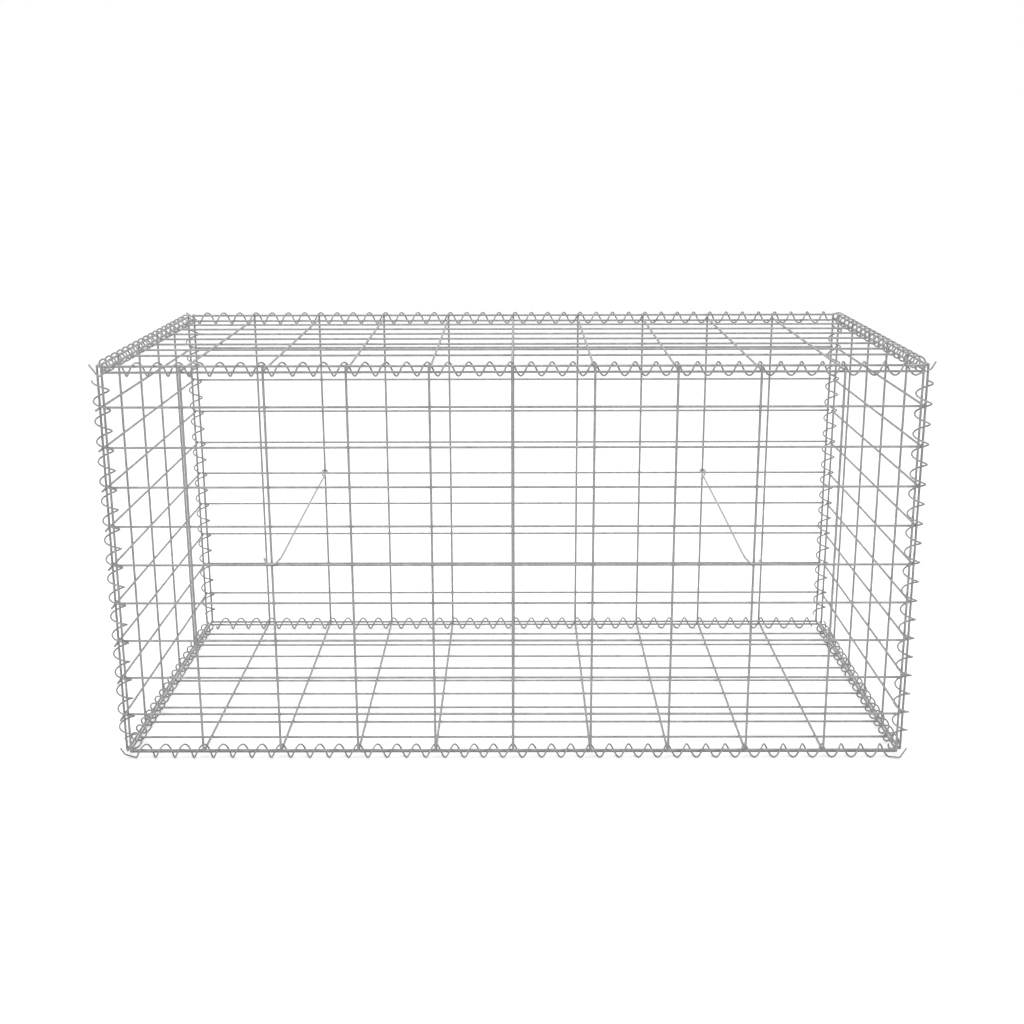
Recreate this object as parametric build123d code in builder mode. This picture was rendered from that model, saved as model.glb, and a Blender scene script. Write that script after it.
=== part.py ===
"""Empty welded-mesh gabion basket with a closed lid: six flat mesh panels laced together
along all twelve edges by helical binder wires, and two tie wires that hold the front to the
back. Millimetres, Z up, front towards -Y, the ground at Z = 0."""
import os
from math import cos, pi, radians, sin, sqrt

from build123d import *

# the mesh cell and how many cells the basket has each way
cell_width = 100.0
cell_height = 50.0
bays_long = 10
bays_deep = 5
rows = 10
# the floor's wires along the length divide its depth into this many cells
floor_cells = 10

# round wires: the mesh, the helical binders and the ties
mesh_wire = 3.0
binder_wire = 2.2
tie_wire = 2.4

# how far the lid's and the floor's edge wires lie below those of the upright panels; each
# binder winds round one such pair
lid_drop = 6.8
floor_drop = 2.5
binder_pitch = 25.0
binder_radius = 8.8
corner_binder_radius = 9.6
turn_sides = 6
# 1 winds like a common screw thread, -1 the other way
binder_hand = -1
# where each binder's wire stands at its middle, in degrees about its axis: these clear the
# wires that cross it
binder_angles = {
    "front_top": 322, "front_bottom": 330, "back_top": 35, "back_bottom": 30,
    "left_top": 91, "left_bottom": 200, "right_top": 280, "right_bottom": 160,
    "front_left": 225, "front_right": 315, "back_left": 195, "back_right": 105,
}

# the lid's long wires are spaced from the back and leave a wide last cell at the front
lid_pitch = 51.5
lid_long_wires = 7

# crossing wires sink this far into each other at their welds
weld_sink = 0.4
# the end wires of each panel keep inside the corner lines by these
flat_inset = 4.6
corner_inset = 6.2
# the left panel's level wires run on past its front upright wire
left_tail = 24.0
# a binder stops this far short of the binders that meet it at a corner
corner_air = 1.5

# how far the ties run in from the ends, in cells, and on which row they hook
tie_bay = 2
tie_row = 5
# air between a tie and the wires it hooks round, and how far its hooks turn back
hook_air = 0.6
hook_return = 9.0
# near the front a tie bends out sideways by this much, this far behind its hook
tie_bow = 7.0
tie_bend = 36.0

# bars of few sides with the same area as the round wires
mesh_bar = mesh_wire * sqrt(pi) / 2
tie_bar = tie_wire * sqrt(pi) / 2
binder_corner = binder_wire / 2 * sqrt(4 * pi / (3 * sqrt(3)))

length = bays_long * cell_width
depth = bays_deep * cell_width
height = rows * cell_height
# from the middle of the mesh to the middle of each of its two layers of wires
layer = (mesh_bar - weld_sink) / 2

# the bottom binders' middles are a binder's radius above the ground
base = binder_radius + binder_corner + (floor_drop + layer) / 2
top = base + height
floor_level = base - floor_drop
lid_level = top - lid_drop


def spread(count, pitch):
    """Places of count + 1 wires about the middle, one pitch apart."""
    return [(i - count / 2) * pitch for i in range(count + 1)]


def pulled_in(places, inset):
    """The same places with the first and the last moved in by inset."""
    return [places[0] + inset] + places[1:-1] + [places[-1] - inset]


def mesh_panel(plane, across, up, tail=0.0):
    """Bars at local x places on the plane's normal side, welded to bars at local y places.

    tail is how far the bars at the y places run on past the last x place."""
    middle_x = (across[0] + across[-1]) / 2
    middle_y = (up[0] + up[-1]) / 2
    tall = up[-1] - up[0] + mesh_bar
    wide = across[-1] - across[0] + mesh_bar + tail
    with BuildPart(plane) as panel:
        with Locations(*[(x, middle_y, layer) for x in across]):
            Box(mesh_bar, tall, mesh_bar)
        with Locations(*[(middle_x + tail / 2, y, -layer) for y in up]):
            Box(wide, mesh_bar, mesh_bar)
    return panel.part


def binder(origin, direction, run, radius, pitch, middle_angle):
    """A helical binder wire of few sides round an axis, its middle turn at the origin.

    middle_angle is where the wire stands there, in degrees about the axis."""
    steps = round(run / pitch * turn_sides)
    upright = direction[2] == 1
    frame = Plane(origin=origin, z_dir=direction, x_dir=(1, 0, 0) if upright else (0, 0, 1))
    points = []
    for i in range(steps + 1):
        turns = (i - steps / 2) / turn_sides
        angle = radians(middle_angle) + binder_hand * 2 * pi * turns
        points.append((radius * cos(angle), radius * sin(angle), pitch * turns))
    with BuildPart() as coil:
        with BuildLine() as path:
            Polyline(*points)
        with BuildSketch(Plane(origin=path.line @ 0, z_dir=path.line % 0)):
            RegularPolygon(binder_corner, 3)
        sweep(transition=Transition.RIGHT)
    return frame.location * coil.part


def tie(x, side):
    """A wire from front to back, hooked round an upright wire at each end.

    side is 1 where the wire passes its upright wires on their +X side."""
    reach = mesh_bar / 2 + hook_air + tie_bar / 2
    end = depth / 2 + layer
    level = row_places[tie_row] + reach
    near, far = x + side * reach, x - side * reach
    points = [(far, -end + hook_return, level), (far, -end - reach, level),
              (near, -end - reach, level), (near + side * tie_bow, -end + tie_bend, level),
              (near, end + reach, level), (far, end + reach, level),
              (far, end - hook_return, level)]
    with BuildPart() as wire:
        with BuildLine() as path:
            Polyline(*points)
        with BuildSketch(Plane(origin=path.line @ 0, z_dir=path.line % 0)):
            Rectangle(tie_bar, tie_bar)
        sweep(transition=Transition.RIGHT)
    return wire.part


long_places = spread(bays_long, cell_width)
deep_places = spread(bays_deep, cell_width)
row_places = [base + i * cell_height for i in range(rows + 1)]
floor_places = spread(floor_cells, depth / floor_cells)
lid_places = [-depth / 2] + [depth / 2 - i * lid_pitch for i in range(lid_long_wires, 0, -1)]
lid_places.append(depth / 2)

parts = {}
# each panel's wires along its second direction are on the inside of the basket
for name, facing in (("front", -1), ("back", 1)):
    parts[f"{name}_panel"] = mesh_panel(
        Plane(origin=(0, facing * depth / 2, 0), x_dir=(-facing, 0, 0), z_dir=(0, facing, 0)),
        pulled_in(long_places, corner_inset), row_places)
for name, facing in (("left", -1), ("right", 1)):
    parts[f"{name}_panel"] = mesh_panel(
        Plane(origin=(facing * length / 2, 0, 0), x_dir=(0, facing, 0), z_dir=(facing, 0, 0)),
        pulled_in(deep_places, corner_inset), row_places, left_tail if facing < 0 else 0)
for name, level, places in (("floor", floor_level, floor_places), ("lid", lid_level, lid_places)):
    parts[f"{name}_panel"] = mesh_panel(
        Plane(origin=(0, 0, level), x_dir=(1, 0, 0), z_dir=(0, 0, 1)),
        pulled_in(long_places, flat_inset), pulled_in(places, flat_inset))

# binders: the axis lies midway between the two edge wires that it holds
flat_axis = (layer + flat_inset) / 2
corner_axis = (corner_inset - layer) / 2
envelope = binder_radius + binder_corner
end_gap = envelope + corner_air + binder_corner
for level_name, level in (("bottom", base - floor_drop / 2), ("top", top - lid_drop / 2)):
    for name, facing in (("front", -1), ("back", 1)):
        parts[f"{name}_{level_name}_binder"] = binder(
            (0, facing * (depth / 2 - flat_axis), level - layer / 2), (1, 0, 0),
            length - 2 * (corner_inset + end_gap / 2), binder_radius, binder_pitch,
            binder_angles[f"{name}_{level_name}"])
    for name, facing in (("left", -1), ("right", 1)):
        parts[f"{name}_{level_name}_binder"] = binder(
            (facing * (length / 2 - flat_axis), 0, level + layer / 2), (0, 1, 0),
            depth - 2 * (flat_axis + end_gap), binder_radius,
            lid_pitch / 2 if level_name == "top" else binder_pitch,
            binder_angles[f"{name}_{level_name}"])
for front_name, front in (("front", -1), ("back", 1)):
    for name, facing in (("left", -1), ("right", 1)):
        parts[f"{front_name}_{name}_binder"] = binder(
            (facing * (length / 2 - corner_axis), front * (depth / 2 - corner_axis),
             base + (height - lid_drop / 2 - floor_drop / 2) / 2), (0, 0, 1),
            height - 2 * end_gap, corner_binder_radius, binder_pitch,
            binder_angles[f"{front_name}_{name}"])

for name, facing in (("left", -1), ("right", 1)):
    parts[f"{name}_tie"] = tie(facing * (length / 2 - tie_bay * cell_width), -facing)

# the lowest turns of the bottom binders stand on the ground, and the left panel's tails are
# counted in the middle of the footprint
boxes = [part.bounding_box() for part in parts.values()]
lift = -min(box.min.Z for box in boxes)
shift = -(min(box.min.Y for box in boxes) + max(box.max.Y for box in boxes)) / 2

os.makedirs("parts", exist_ok=True)
for label, part in parts.items():
    part = Pos(0, shift, lift) * part
    part.label = label
    export_step(part, f"parts/{label}.step")
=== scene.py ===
import bmesh
import bpy
from math import atan2, cos, exp, pi, radians, sin, tau
from mathutils import Matrix, Vector


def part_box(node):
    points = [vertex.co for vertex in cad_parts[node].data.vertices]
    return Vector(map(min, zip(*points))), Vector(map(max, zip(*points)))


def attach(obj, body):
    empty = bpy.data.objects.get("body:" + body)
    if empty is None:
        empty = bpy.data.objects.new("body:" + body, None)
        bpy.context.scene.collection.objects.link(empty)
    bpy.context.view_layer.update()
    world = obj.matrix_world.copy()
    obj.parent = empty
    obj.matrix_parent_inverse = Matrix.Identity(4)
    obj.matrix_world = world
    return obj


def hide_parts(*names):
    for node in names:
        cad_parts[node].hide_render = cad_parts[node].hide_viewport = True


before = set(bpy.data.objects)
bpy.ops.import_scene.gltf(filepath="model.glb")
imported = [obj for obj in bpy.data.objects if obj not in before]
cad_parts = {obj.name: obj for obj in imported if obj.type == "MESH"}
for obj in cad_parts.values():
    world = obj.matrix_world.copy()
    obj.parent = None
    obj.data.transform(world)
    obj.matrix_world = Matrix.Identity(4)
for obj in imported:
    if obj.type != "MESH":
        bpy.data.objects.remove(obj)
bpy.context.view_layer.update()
bpy.ops.object.select_all(action="DESELECT")
scene = bpy.context.scene
scene.cursor.location = (0, 0, 0)
print("frame loaded with", len(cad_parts), "nodes")


def middleOf(node, axis):     # the middle of a node's box along one axis, 0 to 2 for x to z
    return sum(corner[axis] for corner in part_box(node)) / 2


# the basket, in metres, as the frame has it
basket = {
    "length": 1.0, "depth": 0.5, "cellWidth": 0.1, "cellHeight": 0.05,
    "baysLong": 10, "baysDeep": 5, "rows": 10, "floorCells": 10,
    "lidPitch": 0.0515, "lidLongWires": 7,
    "barHalf": 0.001329,     # half of a mesh bar in the frame
    "layer": 0.001129,       # middle of the mesh to the middle of each layer of wires
    "flatInset": 0.0046, "cornerInset": 0.0062,      # end wires in from the basket's corner lines
    "leftTail": 0.024,       # the left panel's level wires run on past its front upright wire
    "endCut": 0.0184,        # cut off the tails of its top and bottom wires
}
midY = middleOf("floor_panel", 1)
floorLevel = middleOf("floor_panel", 2)
lidLevel = middleOf("lid_panel", 2)
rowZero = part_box("front_panel")[0].z + basket["barHalf"]
rowTop = rowZero + basket["rows"] * basket["cellHeight"]
halfLength, halfDepth = basket["length"] / 2, basket["depth"] / 2


def linear(code):     # a screen colour such as "A4A6A8" as scene-linear red, green, blue
    parts = [int(code[i:i + 2], 16) / 255 for i in (0, 2, 4)]
    return [p / 12.92 if p <= 0.04045 else ((p + 0.055) / 1.055) ** 2.4 for p in parts] + [1]


def addNode(tree, kind, inputs=None, **settings):
    node = tree.nodes.new(kind)
    for key, value in settings.items():
        setattr(node, key, value)
    for socket, value in (inputs or {}).items():
        node.inputs[socket].default_value = value
    return node


def newMaterial(name):
    material = bpy.data.materials.new(name)
    material.use_nodes = True
    material.node_tree.nodes.clear()
    return material, material.node_tree


# hot-dip zinc on drawn low-carbon steel wire: a grey skin with a soft sheen, cloudy over a
# centimetre or so, with small crystal facets and a fine grain
zinc = {
    "cloudSize": 0.012, "cloudDetail": 4, "cloudRoughness": 0.6, "cloudEdges": (0.3, 0.72),
    # facets coarser than on real wire, so that they show, and how much darker the darkest is
    "spangleSize": 0.0022, "spangle": 0.14,
    "grainSize": 0.0006, "grainDetail": 3, "grainDepth": 0.00004, "grainStrength": 0.5,
    "metallic": 0.35, "roughness": (0.4, 0.58),     # duller than new zinc, as in the picture
}
# each wire's dull and bright grey: the binders vary the most and the ties are the brightest
wireTones = {
    "mesh_wire": ("galvanisedMeshWire", "9A9A9A", "B8B8B8"),
    "binder_wire": ("galvanisedBinderWire", "939393", "B9B9B9"),
    "tie_wire": ("galvanisedTieWire", "B2B2B2", "CACACA"),
}


def galvanisedWire(name, dull, bright):
    material, tree = newMaterial(name)
    link = tree.links.new
    place = addNode(tree, "ShaderNodeTexCoord")
    clouds = addNode(tree, "ShaderNodeTexNoise",
                     {"Scale": 1 / zinc["cloudSize"], "Detail": zinc["cloudDetail"],
                      "Roughness": zinc["cloudRoughness"]})
    spangle = addNode(tree, "ShaderNodeTexVoronoi", {"Scale": 1 / zinc["spangleSize"]})
    link(place.outputs["Object"], clouds.inputs["Vector"])
    link(place.outputs["Object"], spangle.inputs["Vector"])
    tones = addNode(tree, "ShaderNodeValToRGB")
    for stop, edge, tone in zip(tones.color_ramp.elements, zinc["cloudEdges"], (dull, bright)):
        stop.position = edge
        stop.color = linear(tone)
    link(clouds.outputs["Fac"], tones.inputs["Fac"])
    facet = addNode(tree, "ShaderNodeSeparateColor")
    link(spangle.outputs["Color"], facet.inputs["Color"])
    shade = addNode(tree, "ShaderNodeMapRange", {"To Min": 1 - zinc["spangle"], "To Max": 1})
    link(facet.outputs["Red"], shade.inputs["Value"])
    colour = addNode(tree, "ShaderNodeMix", {"Factor": 1}, data_type="RGBA", blend_type="MULTIPLY")
    link(tones.outputs["Color"], colour.inputs["A"])
    link(shade.outputs["Result"], colour.inputs["B"])
    sheen = addNode(tree, "ShaderNodeMapRange",
                    {"To Min": zinc["roughness"][0], "To Max": zinc["roughness"][1]})
    link(clouds.outputs["Fac"], sheen.inputs["Value"])
    grain = addNode(tree, "ShaderNodeTexNoise",
                    {"Scale": 1 / zinc["grainSize"], "Detail": zinc["grainDetail"]})
    link(place.outputs["Object"], grain.inputs["Vector"])
    bump = addNode(tree, "ShaderNodeBump",
                   {"Strength": zinc["grainStrength"], "Distance": zinc["grainDepth"]})
    link(grain.outputs["Fac"], bump.inputs["Height"])
    shader = addNode(tree, "ShaderNodeBsdfPrincipled", {"Metallic": zinc["metallic"]})
    link(colour.outputs["Result"], shader.inputs["Base Color"])
    link(sheen.outputs["Result"], shader.inputs["Roughness"])
    link(bump.outputs["Normal"], shader.inputs["Normal"])
    output = addNode(tree, "ShaderNodeOutputMaterial")
    link(shader.outputs["BSDF"], output.inputs["Surface"])
    return material


materials = {slot: galvanisedWire(*tones) for slot, tones in wireTones.items()}
print("materials made:", len(materials))

smoothAngle = radians(40)     # faces that turn by less than this are shaded as one


def putDown():     # everything let go, in object mode
    if bpy.context.object and bpy.context.object.mode != "OBJECT":
        bpy.ops.object.mode_set(mode="OBJECT")
    bpy.ops.object.select_all(action="DESELECT")


def hold(pieces):     # only these selected, the first of them active
    putDown()
    for piece in pieces:
        piece.select_set(True)
    bpy.context.view_layer.objects.active = pieces[0]


def joined(pieces):
    hold(pieces)
    if len(pieces) > 1:
        bpy.ops.object.join()
    return bpy.context.object


def copyTo(piece, offset):     # a copy with its own mesh, moved
    hold([piece])
    bpy.ops.object.duplicate()
    bpy.ops.transform.translate(value=offset)
    return bpy.context.object


def insideOut(piece):
    shape = bmesh.new()
    shape.from_mesh(piece.data)
    size = shape.calc_volume(signed=True)
    shape.free()
    return size < 0


def finished(piece, name, node, slot):     # faces outwards, smooth, named, given its slot's material and put under the root body, with the frame's node that it stands for hidden
    hold([piece])
    bpy.ops.object.transform_apply(location=True, rotation=True, scale=True)
    bpy.ops.object.mode_set(mode="EDIT")
    bpy.ops.mesh.select_all(action="SELECT")
    bpy.ops.mesh.normals_make_consistent(inside=False)
    bpy.ops.object.mode_set(mode="OBJECT")
    if insideOut(piece):     # a coil with bent ends can come out this way
        bpy.ops.object.mode_set(mode="EDIT")
        bpy.ops.mesh.flip_normals()
        bpy.ops.object.mode_set(mode="OBJECT")
    bpy.ops.object.shade_smooth_by_angle(angle=smoothAngle)
    piece.name = name
    piece.data.name = name
    piece.data.materials.clear()
    piece.data.materials.append(materials[slot])
    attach(piece, "root")
    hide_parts(node)
    putDown()


def push(offset):     # the selected end of a wire drawn on
    bpy.ops.mesh.extrude_region_move(TRANSFORM_OT_translate={"value": offset})


def bend(place, heading, towards, radius, steps):     # the selected end bent to a new heading
    axis = heading.cross(towards).normalized()
    angle = heading.angle(towards)
    middle = place + radius * axis.cross(heading)
    # spin turns the other way from Matrix.Rotation
    bpy.ops.mesh.spin(steps=steps, angle=-angle, center=middle, axis=axis)
    return middle + Matrix.Rotation(angle, 3, axis) @ (place - middle)


def pick(piece, chosen):     # in edit mode, only the points that chosen says yes to
    hold([piece])
    bpy.ops.object.mode_set(mode="EDIT")
    bpy.ops.mesh.select_mode(type="VERT")
    bpy.ops.mesh.select_all(action="DESELECT")
    bpy.ops.object.mode_set(mode="OBJECT")
    for point in piece.data.vertices:
        point.select = chosen(piece.matrix_world @ point.co)
    bpy.ops.object.mode_set(mode="EDIT")


def turnedTo(origin, xAxis, zAxis):     # a piece's place, from where its own X and Z will point
    x, z = Vector(xAxis), Vector(zAxis)
    facingWay = Matrix((x, z.cross(x), z)).transposed()
    return Matrix.Translation(origin) @ facingWay.to_4x4()


meshWire = {
    "radius": 0.0015, "sides": 12,
    "shearedEnd": 0.0004, "shearedSize": 0.74,      # the sheared ends are a little rounded
    "pressed": 0.9, "pressedReach": 0.0026,         # a weld presses each wire a little flat
    "beadAcross": 0.0026, "beadThick": 0.0009,      # the squeezed-out metal round a weld
    "beadSegments": 8, "beadRings": 5,
    "endReach": 0.001,                              # points this near a wire's end belong to it
}


def drawWire(start, along, run, welds):
    # along is Vector X or Y; welds are distances from the start
    turned = (-pi / 2, 0, 0) if along.y else (0, pi / 2, 0)
    sheared, shearedEnd = meshWire["shearedSize"], meshWire["shearedEnd"]
    bpy.ops.mesh.primitive_circle_add(vertices=meshWire["sides"],
                                      radius=meshWire["radius"] * sheared,
                                      fill_type="NGON", location=start, rotation=turned)
    wire = bpy.context.object
    bpy.ops.object.mode_set(mode="EDIT")
    bpy.ops.mesh.select_all(action="SELECT")
    stations = [(shearedEnd, "whole")]
    for weld in welds:
        reach = meshWire["pressedReach"]
        for spot, shape in ((weld - reach, "whole"), (weld, "pressed"), (weld + reach, "whole")):
            if stations[-1][0] < spot < run - shearedEnd:
                stations.append((spot, shape))
    stations.append((run - shearedEnd, "whole"))
    here, shape = 0, "sheared"
    scales = {"sheared": (sheared,) * 3, "whole": (1, 1, 1), "pressed": (1, 1, meshWire["pressed"])}
    for spot, nextShape in stations + [(run, "sheared")]:
        push(along * (spot - here))
        change = [b / a for a, b in zip(scales[shape], scales[nextShape])]
        bpy.ops.transform.resize(value=change)
        here, shape = spot, nextShape
    bpy.ops.object.mode_set(mode="OBJECT")
    return wire


def makePanel(name, node, across, up, place, tail=0.0, endCut=0.0):
    # laid flat: wires at the x places run along Y in the upper layer, those at the y places
    # run along X in the lower layer, and then the panel is turned into its place
    over, layer = basket["barHalf"], basket["layer"]
    tall, wide = up[-1] - up[0] + 2 * over, across[-1] - across[0] + 2 * over + tail
    standing = drawWire((across[0], up[0] - over, layer), Vector((0, 1, 0)), tall,
                        [y - up[0] + over for y in up])
    lying = drawWire((across[0] - over, up[0], -layer), Vector((1, 0, 0)), wide,
                     [x - across[0] + over for x in across])
    bpy.ops.mesh.primitive_uv_sphere_add(segments=meshWire["beadSegments"],
                                         ring_count=meshWire["beadRings"],
                                         radius=meshWire["beadAcross"],
                                         location=(across[0], up[0], 0))
    bead = bpy.context.object
    bpy.ops.object.mode_set(mode="EDIT")
    bpy.ops.mesh.select_all(action="SELECT")
    bpy.ops.transform.resize(value=(1, 1, meshWire["beadThick"] / meshWire["beadAcross"]))
    bpy.ops.object.mode_set(mode="OBJECT")
    beadRow = joined([bead] + [copyTo(bead, (x - across[0], 0, 0)) for x in across[1:]])
    pieces = [standing] + [copyTo(standing, (x - across[0], 0, 0)) for x in across[1:]]
    pieces += [lying] + [copyTo(lying, (0, y - up[0], 0)) for y in up[1:]]
    if endCut:     # the lowest and the highest wire are snipped off shorter than the rest
        end = across[0] - over + wide
        for wire in (lying, pieces[-1]):
            pick(wire, lambda spot: spot.x > end - meshWire["endReach"])
            bpy.ops.transform.translate(value=(-endCut, 0, 0))
    pieces += [beadRow] + [copyTo(beadRow, (0, y - up[0], 0)) for y in up[1:]]
    panel = joined(pieces)
    hold([panel])
    bpy.ops.object.transform_apply(location=True, rotation=True, scale=True)
    panel.matrix_world = place
    finished(panel, name, node, "mesh_wire")


def spread(count, pitch):     # places of count + 1 wires about the middle
    return [(i - count / 2) * pitch for i in range(count + 1)]


def pulledIn(places, inset):     # the same places with the first and the last moved in
    return [places[0] + inset] + places[1:-1] + [places[-1] - inset]


longPlaces = spread(basket["baysLong"], basket["cellWidth"])
deepPlaces = spread(basket["baysDeep"], basket["cellWidth"])
rowPlaces = [i * basket["cellHeight"] for i in range(basket["rows"] + 1)]
floorPlaces = spread(basket["floorCells"], basket["depth"] / basket["floorCells"])
# the lid's long wires are spaced from the back and leave one wide cell at the front
lidPlaces = [-halfDepth] + [halfDepth - i * basket["lidPitch"]
                            for i in range(basket["lidLongWires"], 0, -1)] + [halfDepth]

for side, facing in (("front", -1), ("back", 1)):
    makePanel(f"{side}MeshPanel", f"{side}_panel", pulledIn(longPlaces, basket["cornerInset"]),
              rowPlaces, turnedTo((0, midY + facing * halfDepth, rowZero), (-facing, 0, 0),
                                  (0, facing, 0)))
for side, facing, tail, endCut in (("left", -1, basket["leftTail"], basket["endCut"]),
                                   ("right", 1, 0, 0)):
    makePanel(f"{side}MeshPanel", f"{side}_panel", pulledIn(deepPlaces, basket["cornerInset"]),
              rowPlaces, turnedTo((facing * halfLength, midY, rowZero), (0, facing, 0),
                                  (facing, 0, 0)), tail, endCut)
for side, level, places in (("floor", floorLevel, floorPlaces), ("lid", lidLevel, lidPlaces)):
    makePanel(f"{side}MeshPanel", f"{side}_panel", pulledIn(longPlaces, basket["flatInset"]),
              pulledIn(places, basket["flatInset"]), turnedTo((0, midY, level), (1, 0, 0),
                                                             (0, 0, 1)))
print("six mesh panels made")

binderWire = {
    "radius": 0.0011, "sides": 10, "stepsPerTurn": 24,
    "flatRadius": 0.00828, "cornerRadius": 0.0096, "pitch": 0.025,
    "cadRadius": 0.0088, "cadCorner": 0.00171,      # the frame's coil, and its bar to a corner
    "cornerAir": 0.0015, "cadStepsPerTurn": 6,      # air between coils; the frame's runs a turn
    "lidDrop": 0.0068, "floorDrop": 0.0025,         # lid and floor below the walls' end wires
    "hand": -1,                                     # wound the other way from a common screw
    "tailBend": 0.0035, "tailSteps": 6,             # each bend of a loose end
    "endRadii": 1.1,                                # an end's points are this near, in wire radii
    "mergeWithin": 0.00001,
}
# where each wire stands at its coil's middle, in degrees about the axis
binderAngles = {
    "front_top": 322, "front_bottom": 330, "back_top": 35, "back_bottom": 30,
    "left_top": 91, "left_bottom": 200, "right_top": 280, "right_bottom": 160,
    "front_left": 344.5, "front_right": 56, "back_left": 0, "back_right": 26.5,
}
# turns left off the start, so that the loose end leaves the coil at its front
binderTrims = {"front_top": 0.184}
# the loose ends at the corners: points that each runs through, from its coil's end on the axis
# and in the basket's own directions
binderTails = {
    ("front_top", "first"): [(-0.0065, -0.0082, -0.0055), (-0.0174, -0.0072, 0.0094)],
    ("front_top", "last"): [(0.013, -0.0078, -0.0005), (0.0188, -0.0065, 0.0093)],
    ("front_bottom", "first"): [(-0.0116, -0.0076, -0.0015), (-0.0188, -0.006, 0.0066)],
    ("front_bottom", "last"): [(0.009, -0.0072, -0.0072), (0.018, -0.005, 0.0066)],
    ("back_top", "first"): [(-0.006, 0.0078, -0.0015), (-0.0188, 0.0072, 0.0078)],
}


def makeBinder(edge, origin, axis, run, radius, pitch):
    # wound about Z with its middle at zero, given its loose ends and then turned into its place
    steps = round(run / pitch * binderWire["cadStepsPerTurn"])
    turns = steps / binderWire["cadStepsPerTurn"]
    hand = binderWire["hand"]
    high, trim = turns * pitch / 2, binderTrims.get(edge, 0)
    low = trim * pitch - high
    first = radians(binderAngles[edge]) - hand * tau * (turns / 2 - trim)
    turns -= trim
    lead = atan2(tau * radius, pitch)
    bpy.ops.mesh.primitive_circle_add(vertices=binderWire["sides"], radius=binderWire["radius"],
                                      location=(radius * cos(first), radius * sin(first), low),
                                      rotation=(-hand * lead, 0, first))
    coil = bpy.context.object
    bpy.ops.object.transform_apply(location=True, rotation=True, scale=True)
    screw = coil.modifiers.new("turns", "SCREW")
    screw.axis = "Z"
    screw.angle = hand * tau * turns
    screw.screw_offset = turns * pitch
    screw.steps = screw.render_steps = round(binderWire["stepsPerTurn"] * turns)
    screw.use_merge_vertices = False
    bpy.ops.object.modifier_apply(modifier=screw.name)
    bpy.ops.object.mode_set(mode="EDIT")
    bpy.ops.mesh.select_mode(type="VERT")
    bpy.ops.mesh.select_all(action="SELECT")
    bpy.ops.mesh.remove_doubles(threshold=binderWire["mergeWithin"])
    bpy.ops.object.mode_set(mode="OBJECT")
    place = turnedTo(origin, (1, 0, 0) if axis[2] else (0, 0, 1), axis)
    inward = place.to_3x3().inverted()
    near = binderWire["radius"] * binderWire["endRadii"]
    for end, way, reached in (("first", -1, low), ("last", 1, high)):
        turned = first if way < 0 else first + hand * tau * turns
        tip = Vector((radius * cos(turned), radius * sin(turned), reached))
        heading = way * Vector((-hand * tau * radius * sin(turned),
                                hand * tau * radius * cos(turned), pitch)).normalized()
        pick(coil, lambda spot: (spot - tip).length < near)
        bpy.ops.mesh.edge_face_add()
        for offset in binderTails.get((edge, end), []):
            goal = inward @ Vector(offset) + Vector((0, 0, way * high))
            towards = (goal - tip).normalized()
            tip = bend(tip, heading, towards, binderWire["tailBend"], binderWire["tailSteps"])
            ahead = (goal - tip).dot(towards) * towards
            push(ahead)
            tip, heading = tip + ahead, towards
        bpy.ops.object.mode_set(mode="OBJECT")
    coil.matrix_world = place
    side, level = edge.split("_")
    finished(coil, f"{side}{level.capitalize()}Binder", f"{edge}_binder", "binder_wire")


# each binder's axis lies midway between the two end wires that it holds
flatAxis = (basket["layer"] + basket["flatInset"]) / 2
cornerAxis = (basket["cornerInset"] - basket["layer"]) / 2
envelope = binderWire["cadRadius"] + binderWire["cadCorner"]
endGap = envelope + binderWire["cornerAir"] + binderWire["cadCorner"]
for levelName, level in (("bottom", rowZero - binderWire["floorDrop"] / 2),
                         ("top", rowTop - binderWire["lidDrop"] / 2)):
    for side, facing in (("front", -1), ("back", 1)):
        makeBinder(f"{side}_{levelName}",
                   (0, midY + facing * (halfDepth - flatAxis), level - basket["layer"] / 2),
                   (1, 0, 0), basket["length"] - 2 * (basket["cornerInset"] + endGap / 2),
                   binderWire["flatRadius"], binderWire["pitch"])
    for side, facing in (("left", -1), ("right", 1)):
        makeBinder(f"{side}_{levelName}",
                   (facing * (halfLength - flatAxis), midY, level + basket["layer"] / 2),
                   (0, 1, 0), basket["depth"] - 2 * (flatAxis + endGap),
                   binderWire["flatRadius"],
                   basket["lidPitch"] / 2 if levelName == "top" else binderWire["pitch"])
uprightMiddle = (rowZero + rowTop) / 2 - (binderWire["lidDrop"] + binderWire["floorDrop"]) / 4
for end, front in (("front", -1), ("back", 1)):
    for side, facing in (("left", -1), ("right", 1)):
        makeBinder(f"{end}_{side}",
                   (facing * (halfLength - cornerAxis), midY + front * (halfDepth - cornerAxis),
                    uprightMiddle),
                   (0, 0, 1), rowTop - rowZero - 2 * endGap, binderWire["cornerRadius"],
                   binderWire["pitch"])
print("twelve binders wound")

tieWire = {
    "radius": 0.0014, "sides": 10, "row": 5, "bay": 2, "halfSteps": 12, "bendSteps": 7,
    "reach": 0.0032,                     # from the middle of a wire that it hooks round
    "bow": 0.0032, "bowStart": 0.012,    # it leans out near the front and straightens to the back
    "endReach": 0.001,                   # points this near an end, along the wire, belong to it
    # at each end: a bend beside the upright wire, a run past it, a second bend, and the loose
    # end as steps across, homewards and up
    "front": {"bend": 0.0052, "pastWire": 0.0045, "hookBend": 0.003,
              "end": [(0.0005, 0.004, 0), (0.003, 0.006, 0.0035)]},
    "back": {"bend": 0.0036, "pastWire": 0.001, "hookBend": 0.0027,
             "end": [(0, 0.006, 0), (-0.001, 0.003, -0.006)]},
}


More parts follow.
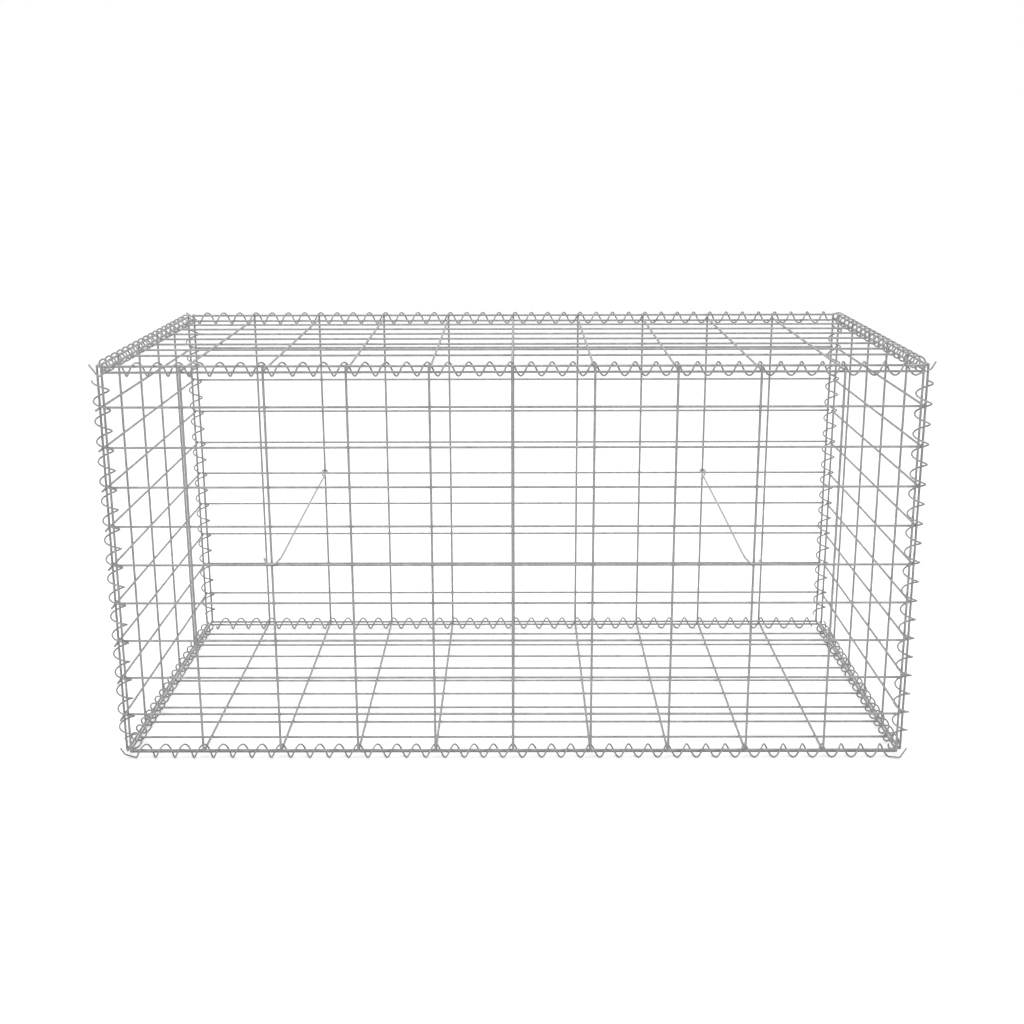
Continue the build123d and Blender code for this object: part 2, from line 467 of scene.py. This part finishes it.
def makeTie(side, facing):     # drawn from its middle, first to the front and then to the back
    x = facing * (halfLength - tieWire["bay"] * basket["cellWidth"])
    past = -facing      # the side of the upright wires that the tie passes on
    reach, front, back = tieWire["reach"], tieWire["front"], tieWire["back"]
    level = rowZero + tieWire["row"] * basket["cellHeight"] + reach
    frontY = midY - halfDepth - basket["layer"] - reach + front["bend"]
    backY = midY + halfDepth + basket["layer"] + reach - back["bend"]
    run = backY - frontY

    def along(gone):     # a place on the straight part, from 0 at the front to 1 at the back
        bow = tieWire["bow"] * (1 - gone) ** 2 * (1 - exp(-gone * run / tieWire["bowStart"]))
        out = front["bend"] + (back["bend"] - front["bend"]) * gone + bow
        return Vector((x + past * out, frontY + gone * run, level))

    middle = along(0.5)
    bpy.ops.mesh.primitive_circle_add(vertices=tieWire["sides"], radius=tieWire["radius"],
                                      fill_type="NGON", location=middle,
                                      rotation=(pi / 2, 0, 0))
    tie = bpy.context.object
    across = Vector((-past, 0, 0))
    for hook, way in ((front, -1), (back, 1)):
        pick(tie, lambda spot: abs(spot.y - middle.y) < tieWire["endReach"])
        tip, heading = middle, Vector((0, way, 0))
        for i in range(1, tieWire["halfSteps"] + 1):
            goal = along(0.5 + way * i / (2 * tieWire["halfSteps"]))
            push(goal - tip)
            tip = goal
        tip = bend(tip, heading, across, hook["bend"], tieWire["bendSteps"])
        push(across * hook["pastWire"])
        bend(tip + across * hook["pastWire"], across, -heading, hook["hookBend"],
             tieWire["bendSteps"])
        for out, home, up in hook["end"]:
            push(across * out - heading * home + Vector((0, 0, up)))
        bpy.ops.object.mode_set(mode="OBJECT")
    finished(tie, f"{side}CrossTie", f"{side}_tie", "tie_wire")


for side, facing in (("left", -1), ("right", 1)):
    makeTie(side, facing)
print("two ties hooked on")

# a white ground that glows a little to the camera, under a white sky that is dimmer as a light
stage = {
    "floorSize": 400, "floorTone": "FAFAFA", "floorGlow": 0.36, "glowTone": "FFFFFF",
    "skyTone": "FFFFFF", "skyLight": 0.68,
}
lamps = {
    "softboxTop": {"place": (0, 0.1, 3.0), "aim": (0, 0, 0.3), "size": 2.5, "power": 38},
    "softboxLeft": {"place": (-1.8, -2.2, 2.6), "aim": (0, 0, 0.2), "size": 2.0, "power": 10},
    "softboxRight": {"place": (2.4, -1.4, 2.2), "aim": (0, 0, 0.2), "size": 2.0, "power": 5},
}

bpy.ops.mesh.primitive_plane_add(size=stage["floorSize"], location=(0, 0, 0))
floor = bpy.context.object
floor.name = "paleFloor"
paper, tree = newMaterial("palePaper")
matt = addNode(tree, "ShaderNodeBsdfDiffuse", {"Color": linear(stage["floorTone"])})
glow = addNode(tree, "ShaderNodeEmission", {"Color": linear(stage["glowTone"])})
seen = addNode(tree, "ShaderNodeLightPath")
amount = addNode(tree, "ShaderNodeMath", {1: stage["floorGlow"]}, operation="MULTIPLY")
both = addNode(tree, "ShaderNodeAddShader")
output = addNode(tree, "ShaderNodeOutputMaterial")
tree.links.new(seen.outputs["Is Camera Ray"], amount.inputs[0])
tree.links.new(amount.outputs[0], glow.inputs["Strength"])
tree.links.new(matt.outputs[0], both.inputs[0])
tree.links.new(glow.outputs[0], both.inputs[1])
tree.links.new(both.outputs[0], output.inputs["Surface"])
floor.data.materials.append(paper)

world = bpy.data.worlds.new("studioWhite")
scene.world = world
world.use_nodes = True
world.node_tree.nodes.clear()
tree = world.node_tree
seen = addNode(tree, "ShaderNodeLightPath")
seenOrMirrored = addNode(tree, "ShaderNodeMath", operation="MAXIMUM")
inSight = addNode(tree, "ShaderNodeMath", operation="MAXIMUM")
strength = addNode(tree, "ShaderNodeMapRange", {"To Min": stage["skyLight"], "To Max": 1})
sky = addNode(tree, "ShaderNodeBackground", {"Color": linear(stage["skyTone"])})
output = addNode(tree, "ShaderNodeOutputWorld")
tree.links.new(seen.outputs["Is Camera Ray"], seenOrMirrored.inputs[0])
tree.links.new(seen.outputs["Is Glossy Ray"], seenOrMirrored.inputs[1])
tree.links.new(seenOrMirrored.outputs[0], inSight.inputs[0])
tree.links.new(seen.outputs["Is Transmission Ray"], inSight.inputs[1])
tree.links.new(inSight.outputs[0], strength.inputs["Value"])
tree.links.new(strength.outputs["Result"], sky.inputs["Strength"])
tree.links.new(sky.outputs[0], output.inputs["Surface"])

for name, lamp in lamps.items():
    bpy.ops.object.light_add(type="AREA", location=lamp["place"])
    softbox = bpy.context.object
    softbox.name = name
    softbox.data.size = lamp["size"]
    softbox.data.energy = lamp["power"]
    aim = Vector(lamp["aim"]) - Vector(lamp["place"])
    softbox.rotation_euler = aim.to_track_quat("-Z", "Y").to_euler()

# the camera stands where the picture was taken from; lens and sensor are in millimetres, the
# three turns in radians
view = {
    "lens": 49.398, "sensor": 36, "near": 0.05, "far": 100,
    "x": 0.00654, "y": -1.92505, "aboveRowZero": 0.76577,
    "pitch": 0.2609, "yaw": -0.00425, "roll": -0.0026,
}
bpy.ops.object.camera_add()
camera = bpy.context.object
camera.name = "pictureCamera"
camera.data.lens = view["lens"]
camera.data.sensor_width = view["sensor"]
camera.data.clip_start, camera.data.clip_end = view["near"], view["far"]
gaze = (Matrix.Rotation(-view["yaw"], 3, "Z") @ Matrix.Rotation(pi / 2 - view["pitch"], 3, "X")
        @ Matrix.Rotation(view["roll"], 3, "Z"))
stand = (view["x"], view["y"] + midY, rowZero + view["aboveRowZero"])
camera.matrix_world = Matrix.Translation(stand) @ gaze.to_4x4()
scene.camera = camera
scene.view_settings.view_transform = "Standard"
print("floor, lamps and camera set")
